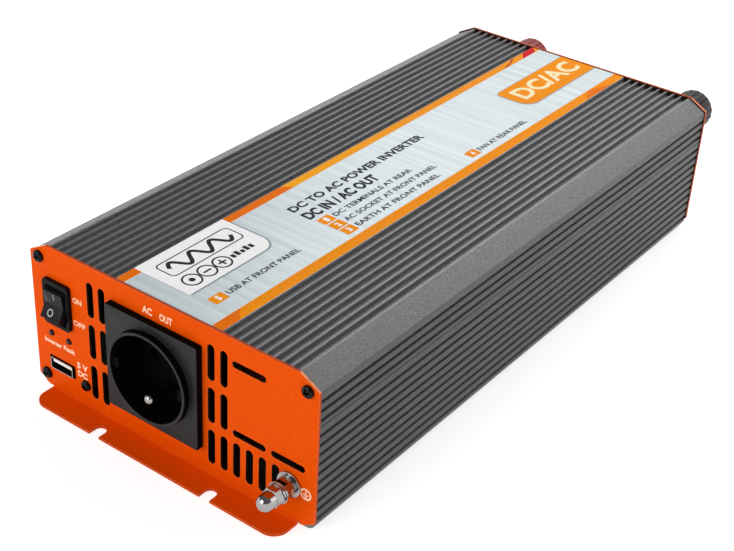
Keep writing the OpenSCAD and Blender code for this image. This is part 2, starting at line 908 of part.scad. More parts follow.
// Each winding fills its core's two windows and stands on moulded feet.
module transformer_windings() {
    color("goldenrod") for (x = transformer_x) translate([x, transformer_y, 0]) {
        difference() {
            translate([0, 0, pcb_top + 8.3]) linear_extrude(height = 25.4) round_rect(25.6, 34, 5);
            block([-6.1, -9.1, pcb_top], [6.1, 9.1, pcb_top + 40]);
        }
        for (s = [-1, 1]) block([-12, s * 14 - 3, pcb_top], [12, s * 14 + 3, pcb_top + 8.4]);
    }
}

// An electrolytic capacitor standing on the board, with a rolled neck near its top.
module capacitor(x, y, r, h) {
    translate([x, y, pcb_top]) rotate_extrude() polygon([
        [0, 0], [r - 0.6, 0], [r, 0.6], [r, 2.2], [r - 0.7, 3], [r, 3.8],
        [r, h - 0.8], [r - 0.8, h], [0, h]
    ]);
}

// Six in one row across the board, near the direct-current terminals.
module input_capacitors() {
    pitch = 19;
    row_y = 112;
    color("midnightblue") for (i = [0:5]) capacitor((i - 2.5) * pitch, row_y, 8, 31);
}

// Two large ones behind the switch, for the high-voltage side.
module hv_capacitors() {
    row_y = -90;
    color("black") for (x = [-46, -12]) capacitor(x, row_y, 15, 45);
}

// Banks of transistors along both side walls: first position and count of each bank.
mosfet_banks = [[25, 6], [-96, 4]];
mosfet_pitch = 18;
mosfet_z = 22;
pad_t = 0.3;

function bank_y(bank) = [bank[0] - 8, bank[0] + (bank[1] - 1) * mosfet_pitch + 8];

module mosfets() {
    back_x = inner_x - pad_t;
    color([0.1, 0.1, 0.1]) for (s = [0, 1]) mirror([s, 0, 0])
        for (bank = mosfet_banks, i = [0:bank[1] - 1]) translate([0, bank[0] + i * mosfet_pitch, 0]) {
            block([back_x - 4.5, -5, mosfet_z], [back_x, 5, mosfet_z + 9]);
            block([back_x - 1.3, -5, mosfet_z + 9], [back_x, 5, mosfet_z + 15]);
            for (y = [-2.5, 0, 2.5])
                block([back_x - 2.8, y - 0.4, pcb_top], [back_x - 2.3, y + 0.4, mosfet_z]);
        }
}

module thermal_pads() {
    color("pink") for (s = [0, 1]) mirror([s, 0, 0]) for (bank = mosfet_banks)
        block([inner_x - pad_t, bank_y(bank)[0], mosfet_z - 2],
              [inner_x, bank_y(bank)[1], mosfet_z + 17]);
}

module clamp_bars() {
    outer_x = inner_x - pad_t - 4.5;
    color("silver") for (s = [0, 1]) mirror([s, 0, 0]) for (bank = mosfet_banks)
        block([outer_x - 2, bank_y(bank)[0], mosfet_z + 1], [outer_x, bank_y(bank)[1], mosfet_z + 8]);
}

choke_place = [36, -82, pcb_top + 22];

module at_choke() {
    translate(choke_place) rotate([0, 90, 0]) children();
}

module choke_core() {
    color("gray") at_choke() rotate_extrude() translate([10, -6]) square([9, 12]);
}

module choke_winding() {
    color("peru") at_choke() rotate_extrude() translate([14.5, 0]) difference() {
        round_rect(14, 17, 2.5);
        square([9.1, 12.1], center = true);
    }
}

// Copper strips from the terminal studs down to the main board.
module busbars() {
    strip_t = 1.5;
    half_w = 7;
    bar_y = rear_y - 6;
    foot_y = 127;
    color("chocolate") for (x = [red_x, black_x]) translate([x, 0, 0]) difference() {
        union() {
            block([-half_w, bar_y, pcb_top], [half_w, bar_y + strip_t, terminal_z + 8]);
            block([-half_w, foot_y, pcb_top], [half_w, bar_y + 0.01, pcb_top + strip_t]);
        }
        y_rod(0, terminal_z, bar_y - 1, bar_y + 3, stud_r + 0.05);
    }
}

module blade_fuses() {
    row_y = 88;
    color("orange") for (x = [-45, -15, 15, 45]) translate([x, row_y, pcb_top]) {
        block([-9.5, -2, 4], [9.5, 2, 14]);
        for (s = [-1, 1]) block([s * 7 - 2, -0.4, 0], [s * 7 + 2, 0.4, 4]);
    }
}

// An upright board that stands on the main one.
module control_board() {
    half_w = 45;
    board_h = 34;
    low_y = -30;
    color("seagreen") block([-half_w, low_y, pcb_top], [half_w, low_y + board_t, pcb_top + board_h]);
}

// ---------- leads ----------

function curve_point(p, i, t) =
    let (a = p[max(i - 1, 0)], b = p[i], c = p[i + 1], d = p[min(i + 2, len(p) - 1)])
    0.5 * (2 * b + (c - a) * t + (2 * a - 5 * b + 4 * c - d) * t * t
        + (3 * b - a - 3 * c + d) * t * t * t);

function unit(v) = v / norm(v);

// A round lead swept along a smooth curve through its points, in one flat-capped tube.
module lead(p, r) {
    sides = 8;
    steps = 5;
    path = concat([for (i = [0:len(p) - 2], k = [0:steps - 1]) curve_point(p, i, k / steps)],
                  [p[len(p) - 1]]);
    n = len(path);
    last = len(p) - 1;
    side_dir = unit(cross(p[1] - p[0], p[last] - p[0] + [0.37, 0.11, 0.23]));
    function along(i) = i == 0 ? p[1] - p[0] : i == n - 1 ? p[last] - p[last - 1]
        : path[i + 1] - path[i - 1];
    rings = [for (i = [0:n - 1])
        let (d = unit(along(i)), u = unit(side_dir - d * (side_dir * d)), v = cross(d, u))
        for (k = [0:sides - 1]) path[i] + r * (cos(360 * k / sides) * u + sin(360 * k / sides) * v)];
    walls = [for (i = [0:n - 2], k = [0:sides - 1])
        [i * sides + k, (i + 1) * sides + k, (i + 1) * sides + (k + 1) % sides,
         i * sides + (k + 1) % sides]];
    first_cap = [for (k = [0:sides - 1]) k];
    last_cap = [for (k = [sides - 1:-1:0]) (n - 1) * sides + k];
    polyhedron(points = rings, faces = concat([first_cap], walls, [last_cap]));
}

live_route = [
    [0, 0, 0], [0, 5, 0], [0, 10, -4], [0, 13, -12], [0, 13, -18], [0, 13, -24.1]
];

// The leads to the socket's contacts and earth pin, and the lead to the fan.
module inner_leads() {
    lead_r = 1.6;
    start = [socket_x, contact_end_y, socket_z];
    fan_start = [fan_x - 22, rear_y - panel_t - fan_d, fan_z + 24];
    fan_fall_y = fan_start[1] - 10;
    color("saddlebrown") for (s = [-1, 1])
        lead([for (q = live_route) start + q + [s * pin_spacing / 2, 0, 0]], lead_r);
    color("yellowgreen") lead([
        start - [0, 0, earth_pin_drop], start + [0, 3, -earth_pin_drop],
        start + [8, 6.5, -11], start + [30, 6, -14], start + [54, 2, -18],
        start + [67, -6, -18.7], start + [earth_x - socket_x, -16, earth_z - socket_z],
        [earth_x, front_y + 11, earth_z]
    ], lead_r);
    color("firebrick") lead([
        fan_start, fan_start - [0, 3, 0], fan_start - [0, 7, 4], fan_start - [0, 9, 14],
        fan_start - [0, 10, 28], [fan_start[0], fan_fall_y, pcb_top + 6],
        [fan_start[0], fan_fall_y, pcb_top]
    ], 1);
}

upper_shell();
lower_shell();
front_panel();
rear_panel();
front_screws();
rear_screws();
switch_housing();
rocker();
switch_terminals();
usb_shell();
usb_tongue();
usb_contacts();
indicator_board();
board_spacer();
spacer_screw();
indicator_leds();
socket_body();
socket_carrier();
socket_earth_pin();
socket_contacts();
socket_shutter();
shutter_spring();
socket_rear_cover();
socket_cover_screws();
earth_stud();
earth_washers();
earth_spring_washers();
earth_nuts();
earth_cap_nut();
red_terminal_base();
black_terminal_base();
terminal_inner_insulators();
terminal_studs();
terminal_nuts();
red_clamp_washer();
black_clamp_washer();
red_knob();
black_knob();
red_knob_insert();
black_knob_insert();
fan_frame();
fan_rotor();
fan_screws();
main_pcb();
pcb_standoffs();
pcb_screws();
transformer_cores();
transformer_windings();
input_capacitors();
hv_capacitors();
mosfets();
clamp_bars();
thermal_pads();
choke_core();
choke_winding();
busbars();
blade_fuses();
control_board();
inner_leads();
top_label();
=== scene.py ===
"""Looks for the power inverter: camera, finishes, rounded edges, printed marks, floor and light."""
import json
import math

import bmesh
import bpy
from mathutils import Matrix, Vector
from mathutils.bvhtree import BVHTree

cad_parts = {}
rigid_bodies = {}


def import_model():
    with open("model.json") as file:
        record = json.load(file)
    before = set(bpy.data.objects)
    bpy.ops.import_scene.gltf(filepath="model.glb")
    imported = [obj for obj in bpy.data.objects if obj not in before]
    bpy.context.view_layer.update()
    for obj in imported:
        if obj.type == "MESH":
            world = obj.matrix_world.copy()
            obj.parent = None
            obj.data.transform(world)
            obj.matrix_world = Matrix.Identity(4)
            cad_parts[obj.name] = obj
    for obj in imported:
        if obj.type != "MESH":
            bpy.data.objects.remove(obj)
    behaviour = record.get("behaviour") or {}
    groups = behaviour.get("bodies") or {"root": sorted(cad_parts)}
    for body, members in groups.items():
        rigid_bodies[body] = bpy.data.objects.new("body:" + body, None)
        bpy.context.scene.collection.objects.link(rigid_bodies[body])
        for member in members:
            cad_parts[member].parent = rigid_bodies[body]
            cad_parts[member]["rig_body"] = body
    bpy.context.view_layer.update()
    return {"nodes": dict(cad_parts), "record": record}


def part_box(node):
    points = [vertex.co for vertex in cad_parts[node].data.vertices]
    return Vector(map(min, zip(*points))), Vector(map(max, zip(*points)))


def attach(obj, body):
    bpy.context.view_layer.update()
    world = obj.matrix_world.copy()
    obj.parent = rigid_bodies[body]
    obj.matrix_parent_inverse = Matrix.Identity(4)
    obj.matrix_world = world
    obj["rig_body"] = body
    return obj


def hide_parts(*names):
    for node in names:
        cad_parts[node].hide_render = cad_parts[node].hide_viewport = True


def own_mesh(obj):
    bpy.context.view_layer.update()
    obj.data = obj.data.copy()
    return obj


MM = 0.001
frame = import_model()
nodes = frame["nodes"]

# ---------- camera ----------

# Where the camera stands, in metres, its heading, tilt and roll in degrees, and its lens and
# sensor in millimetres.
CAMERA_PLACE = Vector((0.33396, -0.49985, 0.38526))
CAMERA_AZIMUTH = 35.1745
CAMERA_ELEVATION = 31.9727
CAMERA_ROLL = 3.4011
CAMERA_LENS = 71.3166
SENSOR_WIDTH = 36


def turn(degrees, axis):
    return Matrix.Rotation(math.radians(degrees), 4, axis)


def add_camera():
    data = bpy.data.cameras.new("view_camera")
    data.lens = CAMERA_LENS
    data.sensor_width = SENSOR_WIDTH
    data.clip_start = 0.01
    data.clip_end = 50
    camera = bpy.data.objects.new("view_camera", data)
    bpy.context.scene.collection.objects.link(camera)
    aim = turn(CAMERA_AZIMUTH, "Z") @ turn(90 - CAMERA_ELEVATION, "X") @ turn(CAMERA_ROLL, "Z")
    camera.matrix_world = Matrix.Translation(CAMERA_PLACE) @ aim
    bpy.context.scene.camera = camera


# ---------- materials ----------

# Where the Mix node's colour sockets are in its lists of inputs and outputs.
MIX_FIRST, MIX_SECOND, MIX_RESULT = 6, 7, 2


class Recipe:
    """One procedural material. Its patterns are laid out in metres on the object itself."""

    def __init__(self, name, rough, metal=0.0, **sockets):
        self.material = bpy.data.materials.new(name)
        self.material.use_nodes = True
        self.tree = self.material.node_tree
        self.shader = self.tree.nodes["Principled BSDF"]
        self.coords = self.tree.nodes.new("ShaderNodeTexCoord")
        self.shader.inputs["Roughness"].default_value = rough
        self.shader.inputs["Metallic"].default_value = metal
        for socket, value in sockets.items():
            self.shader.inputs[socket.replace("_", " ")].default_value = value

    def place(self, stretch=(1, 1, 1)):
        """Object coordinates, pressed together along each axis by a factor."""
        mapping = self.tree.nodes.new("ShaderNodeMapping")
        mapping.inputs["Scale"].default_value = stretch
        self.tree.links.new(self.coords.outputs["Object"], mapping.inputs["Vector"])
        return mapping.outputs["Vector"]

    def noise(self, scale, detail=3.0, stretch=(1, 1, 1)):
        texture = self.tree.nodes.new("ShaderNodeTexNoise")
        texture.inputs["Scale"].default_value = scale
        texture.inputs["Detail"].default_value = detail
        self.tree.links.new(self.place(stretch), texture.inputs["Vector"])
        return texture.outputs["Fac"]

    def cells(self, scale):
        texture = self.tree.nodes.new("ShaderNodeTexVoronoi")
        texture.inputs["Scale"].default_value = scale
        self.tree.links.new(self.place(), texture.inputs["Vector"])
        return texture.outputs["Distance"]

    def bands(self, scale, axis):
        texture = self.tree.nodes.new("ShaderNodeTexWave")
        texture.bands_direction = axis
        texture.inputs["Scale"].default_value = scale
        self.tree.links.new(self.place(), texture.inputs["Vector"])
        return texture.outputs["Fac"]

    def along(self, axis, start, end):
        """A ramp from 0 at start to 1 at end along one axis, in metres."""
        split = self.tree.nodes.new("ShaderNodeSeparateXYZ")
        self.tree.links.new(self.place(), split.inputs[0])
        return self.spread(split.outputs[axis], start, end, 0, 1)

    def spread(self, value, low, high, to_low, to_high):
        """A value whose range from low to high is stretched to that from to_low to to_high."""
        node = self.tree.nodes.new("ShaderNodeMapRange")
        ends = {"From Min": low, "From Max": high, "To Min": to_low, "To Max": to_high}
        for socket, number in ends.items():
            node.inputs[socket].default_value = number
        self.tree.links.new(value, node.inputs["Value"])
        return node.outputs["Result"]

    def mix(self, factor, first, second):
        """A colour between two others; each is a colour or another mix."""
        node = self.tree.nodes.new("ShaderNodeMix")
        node.data_type = "RGBA"
        self.tree.links.new(factor, node.inputs["Factor"])
        for place, value in ((MIX_FIRST, first), (MIX_SECOND, second)):
            if isinstance(value, tuple):
                node.inputs[place].default_value = (*value, 1)
            else:
                self.tree.links.new(value, node.inputs[place])
        return node.outputs[MIX_RESULT]

    def color(self, value):
        self.tree.links.new(value, self.shader.inputs["Base Color"])

    def roughness(self, value, low, high):
        """Gloss that follows a pattern, most of which lies between 0.3 and 0.7."""
        rough = self.spread(value, 0.3, 0.7, low, high)
        self.tree.links.new(rough, self.shader.inputs["Roughness"])

    def bump(self, value, strength, depth_mm):
        """The recipe's last step: the relief that a pattern gives the surface."""
        node = self.tree.nodes.new("ShaderNodeBump")
        node.inputs["Strength"].default_value = strength
        node.inputs["Distance"].default_value = depth_mm * MM
        self.tree.links.new(value, node.inputs["Height"])
        self.tree.links.new(node.outputs["Normal"], self.shader.inputs["Normal"])
        return self


def shade(color, factor):
    return tuple(min(1.0, c * factor) for c in color)


def grained(name, color, rough, contrast=0.1, grain=700, relief=0.15, shine=0.5):
    """A surface with a fine grain: its colour, gloss and height all vary a little."""
    recipe = Recipe(name, rough, Specular_IOR_Level=shine)
    fleck = recipe.noise(grain, 4)
    speck = recipe.spread(fleck, 0.35, 0.65, 0, 1)
    recipe.color(recipe.mix(speck, shade(color, 1 - contrast), shade(color, 1 + contrast)))
    recipe.roughness(recipe.noise(grain / 8, 3), max(0.03, rough - 0.06), min(1, rough + 0.06))
    return recipe.bump(recipe.noise(2.5 * grain, 2), relief, 0.05).material


def powder_coat(name, tone, contrast=0.35, shine=0.7):
    """Metallic grey powder coat: a fine orange-peel with paler and darker specks."""
    recipe = Recipe(name, 0.5, 0.2, Specular_IOR_Level=shine)
    fine = recipe.spread(recipe.noise(1300, 3), 0.34, 0.66, 0, 1)
    broad = recipe.spread(recipe.noise(60, 2), 0.3, 0.7, 0, 0.5)
    grey = (tone, 1.01 * tone, 1.03 * tone)
    flecks = recipe.mix(fine, shade(grey, 1 - contrast), shade(grey, 1 + contrast))
    recipe.color(recipe.mix(broad, flecks, grey))
    recipe.roughness(recipe.noise(500, 3), 0.34, 0.46)
    return recipe.bump(recipe.noise(1600, 3), 0.35, 0.08).material


def orange_paint(name, strength=1.0):
    """Deep orange sheet-metal paint; strength makes it paler above 1."""
    recipe = Recipe(name, 0.42, Specular_IOR_Level=0.02)
    fine = recipe.spread(recipe.noise(900, 3), 0.3, 0.7, 0, 1)
    dark, pale = (0.67, 0.067, 0.0004), (0.75, 0.077, 0.0006)
    recipe.color(recipe.mix(fine, shade(dark, strength), shade(pale, strength)))
    recipe.roughness(recipe.noise(120, 3), 0.36, 0.48)
    return recipe.bump(recipe.noise(1300, 2), 0.12, 0.05).material


def brushed_film():
    """Printed silver film, brushed across the label."""
    recipe = Recipe("label_brushed_film", 0.38, 0.15)
    streaks = recipe.noise(260, 4, stretch=(0.03, 1, 1))
    wide = recipe.noise(30, 2, stretch=(0.05, 1, 1))
    sharp = recipe.spread(streaks, 0.38, 0.62, 0, 1)
    brushed = recipe.mix(sharp, (0.44, 0.51, 0.53), (0.61, 0.68, 0.70))
    recipe.color(recipe.mix(recipe.spread(wide, 0.3, 0.7, 0, 0.6), brushed, (0.53, 0.60, 0.62)))
    recipe.roughness(streaks, 0.3, 0.46)
    return recipe.bump(streaks, 0.08, 0.03).material


def bright_metal(name, color, rough):
    """Plated or turned metal with faint smears and turning marks."""
    recipe = Recipe(name, rough, 1.0)
    smear = recipe.spread(recipe.noise(180, 3), 0.3, 0.7, 0, 1)
    recipe.color(recipe.mix(smear, shade(color, 0.9), color))
    recipe.roughness(recipe.noise(400, 3), max(0.04, rough - 0.05), rough + 0.07)
    return recipe.bump(recipe.bands(900, "Y"), 0.04, 0.02).material


def board_green():
    """Solder resist over tracks, which show as slightly raised paler cells."""
    recipe = Recipe("board_green", 0.35)
    tracks = recipe.spread(recipe.cells(160), 0.15, 0.3, 0, 1)
    recipe.color(recipe.mix(tracks, (0.02, 0.12, 0.045), (0.012, 0.07, 0.028)))
    return recipe.bump(tracks, 0.3, 0.05).material


def wound_copper():
    """Enamelled wire, wound turn on turn."""
    recipe = Recipe("wound_copper", 0.35, 0.8)
    turns = recipe.bands(320, "Z")
    recipe.color(recipe.mix(turns, (0.32, 0.11, 0.04), (0.78, 0.36, 0.16)))
    return recipe.bump(turns, 0.6, 0.3).material


# The finish of each of the record's material slots.
FINISHES = {
    "case_aluminium": powder_coat("case_powder_coat", 0.138, 0.45),
    "panel_paint": orange_paint("panel_orange_paint"),
    "black_steel": grained(
        "screw_black_oxide", (0.002, 0.002, 0.0025), 0.15, relief=0.06, shine=0.14),
    "switch_plastic": grained(
        "switch_black_plastic", (0.005, 0.005, 0.006), 0.32, relief=0.15, shine=0.06),
    "rocker_plastic": grained(
        "rocker_black_plastic", (0.007, 0.007, 0.009), 0.25, relief=0.08, shine=0.12),
    "nickel": bright_metal("bright_nickel", (0.38, 0.37, 0.36), 0.07),
    "plated_tags": bright_metal("tin_plate", (0.7, 0.7, 0.68), 0.3),
    "white_plastic": grained("white_plastic", (0.78, 0.78, 0.76), 0.45, contrast=0.04),
    "gold_plate": bright_metal("gold_flash", (0.83, 0.62, 0.25), 0.2),
    "circuit_board": board_green(),
    "brass_parts": bright_metal("turned_brass", (0.72, 0.52, 0.22), 0.25),
    "led_red": grained(
        "led_resin", (0.025, 0.002, 0.001), 0.12, contrast=0.2, relief=0.02, shine=0.3),
    # The socket's plastic, darkened nearly to black as painted shade in its recess and on its
    # sides.
    "socket_plastic": grained(
        "socket_shaded_black_plastic", (0.003, 0.003, 0.0034), 0.45, relief=0.25, shine=0.015),
    # The grey shutter, darkened nearly to black as painted shade deep in the socket's recess.
    "shutter_plastic": grained("shutter_shaded_grey_plastic", (0.004, 0.004, 0.005), 0.5, shine=0.05),
    "spring_steel": bright_metal("spring_steel", (0.6, 0.6, 0.6), 0.25),
    "red_plastic": grained(
        "terminal_red_plastic", (0.25, 0.012, 0.008), 0.32, relief=0.12, shine=0.2),
    "black_plastic": grained(
        "terminal_black_plastic", (0.018, 0.013, 0.013), 0.35, relief=0.12, shine=0.15),
    "insulator": grained("insulator_ivory", (0.7, 0.67, 0.58), 0.5, contrast=0.05),
    "fan_plastic": grained("fan_black_plastic", (0.02, 0.02, 0.02), 0.5, relief=0.2),
    "ferrite": grained("ferrite", (0.06, 0.06, 0.065), 0.7, contrast=0.25),
    "copper": wound_copper(),
    "capacitor_sleeve": grained("capacitor_sleeve", (0.02, 0.03, 0.08), 0.35),
    "component_black": grained("epoxy_black", (0.02, 0.02, 0.02), 0.6),
    "thermal_pad": grained("thermal_pad", (0.5, 0.36, 0.36), 0.8),
    "fuse_plastic": grained("fuse_amber", (0.8, 0.25, 0.02), 0.3),
    "lead_sleeve": grained("lead_sleeve", (0.25, 0.04, 0.02), 0.45),
    "label_metal": brushed_film(),
}
SLOT_OF = {part["node"]: part["material_slot"] for part in frame["record"]["subparts"]}


def paint_cad_nodes():
    for name, thing in nodes.items():
        thing.data.materials.clear()
        thing.data.materials.append(FINISHES[SLOT_OF[name]])


# ---------- rounded edges ----------

# How wide the rounding of each piece's edges is, in millimetres.
EDGE_MM = {
    "upper_shell": 0.18, "lower_shell": 0.18, "front_panel": 0.22, "rear_panel": 0.22,
    "socket_body": 0.5, "switch_housing": 0.35, "rocker": 0.5, "usb_shell": 0.08,
    "usb_tongue": 0.15, "earth_washers": 0.15, "earth_spring_washers": 0.12, "earth_nuts": 0.15,
    "red_terminal_base": 0.6, "black_terminal_base": 0.6, "red_knob": 0.3, "black_knob": 0.3,
    "red_clamp_washer": 0.25, "black_clamp_washer": 0.25, "fan_frame": 0.4, "fan_rotor": 0.3,
}
# Faces that meet at more than this angle have an edge between them.
SMOOTH_ANGLE = math.radians(32)
# Points closer than this are one point, and faces that meet at less than this angle are one face.
SEAM_GAP, FLAT_ANGLE = 0.002 * MM, math.radians(0.4)

# Finishes for parts of a node's surface. Most of them are lighter or darker copies of a node's
# own finish, as painted light and painted shade.
# Nearly black, as painted shade in the panels' openings and on their backs.
PANEL_SHADE = grained("sheet_painted_shade", (0.03, 0.008, 0.004), 0.6, shine=0.15)
RIM_EDGE = grained("sheet_rim_edge", (0.5, 0.05, 0.001), 0.55, shine=0.1)
# Pale orange, as a painted highlight on the panels' sloping corners and rounded edges.
EDGE_HIGHLIGHT = grained("sheet_painted_highlight", (0.95, 0.3, 0.12), 0.4, contrast=0.25, shine=0.2)
# A paler copy of the panel paint, as painted light on the flange.
FLANGE_LIT_PAINT = orange_paint("flange_lit_orange_paint", 1.22)
# Darker coat on the case's flat sides and left slope, as painted shade.
SIDE_SHADE_COAT = powder_coat("case_side_shade_coat", 0.05, 0.3, 0.35)
# Darker coat in the side grooves, as painted shade.
GROOVE_SHADE_COAT = powder_coat("case_groove_shade_coat", 0.035)
# Darker coat on the rib crowns, as painted shade.
CROWN_SHADE_COAT = powder_coat("case_crown_shade_coat", 0.09)
# Lighter coat between the ribs, as painted light.
CHANNEL_LIT_COAT = powder_coat("case_channel_lit_coat", 0.195)
# Darker coat inside the case, as painted shade.
INNER_SHADE_COAT = powder_coat("case_inner_shade_coat", 0.03)
# A lighter, glossier copy of the socket plastic, as painted light on its front faces.
SOCKET_LIT_FACE = grained("socket_lit_face_plastic", (0.012, 0.012, 0.013), 0.42, relief=0.25, shine=0.2)
# Darker metal, as painted shade on the walls inside the USB port.
PORT_SHADE = bright_metal("port_shade_metal", (0.05, 0.05, 0.05), 0.35)

# Places on the case, the panels and the front fittings, from the frame.
PANEL_THICK = 1.2 * MM
CASE_HALF, CASE_END, CASE_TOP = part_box("upper_shell")[1]
PANEL_HALF, _, PANEL_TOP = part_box("front_panel")[1]
PANEL_FACE = CASE_END + PANEL_THICK
SOCKET_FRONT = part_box("socket_body")[0].y
PORT_LOW, PORT_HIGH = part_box("usb_shell")

# Where the panels' finishes change: in front of the upright face, at the flange's cut edge, above
# its bend, round the outline and at the corners.
FLANGE_START, FACE_PLAY = 0.5 * MM, 0.1 * MM
FLANGE_EDGE, BEND_TOP = 1.1 * MM, 2.5 * MM
OUTLINE_WIDTH = 1.5 * MM
CORNER_WIDTH, CORNER_HEIGHT = 11 * MM, 7 * MM

# Where the case's finishes change: its ribs and their crowns, its slopes, grooves and base.
RIBS_INSET, RIBS_DEPTH, CROWN_DEPTH = 10 * MM, 2.7 * MM, 0.1 * MM
SLOPE_HEIGHT, SHOULDER_HEIGHT = 6.5 * MM, 5.5 * MM
GROOVE_DEPTH, FLAT_DEPTH = 1.4 * MM, 0.05 * MM
BASE_INSET, BASE_HEIGHT = 4 * MM, 2 * MM
MID_HEIGHT = 30 * MM

# How far the socket's rim and plate lie behind its front, and how thick the port's metal is.
RIM_DEPTH, PLATE_START, PLATE_END = 0.6 * MM, 2 * MM, 3.4 * MM
PORT_SKIN = 0.2 * MM

# A face looks along an axis if that much of its normal does, and it slopes if its normal has more
# than this both across and up.
LOOKS, LOOKS_STRAIGHT = 0.5, 0.7
PANEL_SLANT, CASE_SLANT = 0.2, 0.3

# Each rule below gives the finish of one face of a node, from the face's middle and its normal.
# None keeps the node's own finish.


def panel_finish(middle, normal):
    """Nearly black in the openings and on the back, as painted shade, and deep orange round the
    outline. Pale at the sloping corners, as a painted highlight, and a paler orange on the flange,
    as painted light."""
    beyond = abs(middle.y) - PANEL_FACE
    if beyond > FLANGE_START:
        cut = middle.z < FLANGE_EDGE and abs(normal.z) < LOOKS
        return RIM_EDGE if cut else FLANGE_LIT_PAINT
    if beyond > -FACE_PLAY or middle.z < BEND_TOP:
        return None
    beside, below = PANEL_HALF - abs(middle.x), PANEL_TOP - middle.z
    corner = beside < CORNER_WIDTH and below < CORNER_HEIGHT
    outline = corner or min(beside, below) < OUTLINE_WIDTH
    if not outline or abs(normal.y) > LOOKS:
        # The openings' walls and the panel's back get the nearly black finish, as painted shade.
        return PANEL_SHADE
    return EDGE_HIGHLIGHT if min(abs(normal.x), abs(normal.z)) > PANEL_SLANT else RIM_EDGE


def shell_finish(middle, normal):
    """Copies of the case's one coat, lighter and darker as painted light and painted shade: darker
    on the rib crowns, lighter between the ribs, and darker on the flat sides and the left slope, in
    the side grooves and inside the case."""
    beside, below = CASE_HALF - abs(middle.x), CASE_TOP - middle.z
    lengthwise = abs(normal.y) < LOOKS
    if beside > RIBS_INSET and below < RIBS_DEPTH and lengthwise and normal.z > -LOOKS:
        return CROWN_SHADE_COAT if below < CROWN_DEPTH else CHANNEL_LIT_COAT
    shoulder = beside < RIBS_INSET and below < SLOPE_HEIGHT
    if shoulder and min(-normal.x, normal.z) > CASE_SLANT:
        return SIDE_SHADE_COAT
    base = beside > BASE_INSET and middle.z < BASE_HEIGHT
    if not lengthwise or below < SHOULDER_HEIGHT or base:
        return None
    inward = middle.x * normal.x + (middle.z - MID_HEIGHT) * normal.z < 0
    if inward and beside > GROOVE_DEPTH:
        return INNER_SHADE_COAT
    if beside < FLAT_DEPTH:
        return SIDE_SHADE_COAT
    return GROOVE_SHADE_COAT if beside < GROOVE_DEPTH else None


def socket_finish(middle, normal):
    """Lighter and glossier on the faces that look forwards from the rim and the plate, as painted
    light.
    """
    depth = middle.y - SOCKET_FRONT
    faced = depth < RIM_DEPTH or PLATE_START < depth < PLATE_END
    return SOCKET_LIT_FACE if faced and normal.y < -LOOKS_STRAIGHT else None


def port_finish(middle, normal):
    """Darker on the walls inside the USB port, as painted shade."""
    across = min(middle.x - PORT_LOW.x, PORT_HIGH.x - middle.x)
    above = min(middle.z - PORT_LOW.z, PORT_HIGH.z - middle.z)
    return PORT_SHADE if min(across, above) > PORT_SKIN and abs(normal.y) < LOOKS else None


PANEL_FINISHES = (PANEL_SHADE, RIM_EDGE, EDGE_HIGHLIGHT, FLANGE_LIT_PAINT)
SIDE_FINISHES = (SIDE_SHADE_COAT, GROOVE_SHADE_COAT, INNER_SHADE_COAT)
# Nodes whose faces differ in finish: the rule, and the finishes that it can give.
ZONES = {
    "front_panel": (panel_finish, PANEL_FINISHES),
    "rear_panel": (panel_finish, PANEL_FINISHES),
    "upper_shell": (shell_finish, (*SIDE_FINISHES, CROWN_SHADE_COAT, CHANNEL_LIT_COAT)),
    "lower_shell": (shell_finish, SIDE_FINISHES),
    "socket_body": (socket_finish, (SOCKET_LIT_FACE,)),
    "usb_shell": (port_finish, (PORT_SHADE,)),
}


def merged_mesh(node):
    """The node's own surface with its seams joined and its flat faces whole."""
    work = bmesh.new()
    work.from_mesh(nodes[node].data)
    bmesh.ops.remove_doubles(work, verts=work.verts, dist=SEAM_GAP)
    bmesh.ops.dissolve_limit(work, angle_limit=FLAT_ANGLE, verts=work.verts, edges=work.edges)
    mesh = bpy.data.meshes.new(node + "_skin")
    work.to_mesh(mesh)
    work.free()
    return mesh


def add_skin(node):
    """A copy of a CAD node's surface, which stands for it, finished by face where ZONES says."""
    mesh = merged_mesh(node)
    mesh.shade_smooth()
    mesh.set_sharp_from_angle(angle=SMOOTH_ANGLE)
    own = FINISHES[SLOT_OF[node]]
    finish_at, others = ZONES.get(node, (None, ()))
    finishes = (own, *others)
    for finish in finishes:
        mesh.materials.append(finish)
    if finish_at:
        for face in mesh.polygons:
            face.material_index = finishes.index(finish_at(face.center, face.normal) or own)
    skin = bpy.data.objects.new(node + "_skin", mesh)
    bpy.context.scene.collection.objects.link(skin)
    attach(skin, nodes[node]["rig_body"])
    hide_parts(node)
    return skin


def add_rounded(node, width_mm):
    """A skin with its edges rounded. A panel's rounded edges are pale orange, as a painted
    highlight.
    """
    skin = add_skin(node)
    bevel = skin.modifiers.new("edges", "BEVEL")
    bevel.width = width_mm * MM
    bevel.segments = 2
    bevel.limit_method = "ANGLE"
    bevel.angle_limit = SMOOTH_ANGLE
    bevel.harden_normals = True
    finishes = list(skin.data.materials)
    if EDGE_HIGHLIGHT in finishes:
        bevel.material = finishes.index(EDGE_HIGHLIGHT)


def add_shutter_spring():
    """The shutter's spring as a skin with a mesh of its own. The spring shortens to half its length
    as the shutter rises; nothing here shortens it.
    """
    spring = add_skin("shutter_spring")
    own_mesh(spring)


# ---------- printed marks ----------


def circle(u, v, radius, steps=40):
    angles = (2 * math.pi * step / steps for step in range(steps))
    return [(u + radius * math.cos(angle), v + radius * math.sin(angle)) for angle in angles]


def oval(half_width, half_height):
    return [(half_width * u, half_height * v) for u, v in circle(0, 0, 1)]


# The radii of a plain rectangle's corners, and the steps in a rounded corner.
SQUARE = (0, 0, 0, 0)
CORNER_STEPS = 8


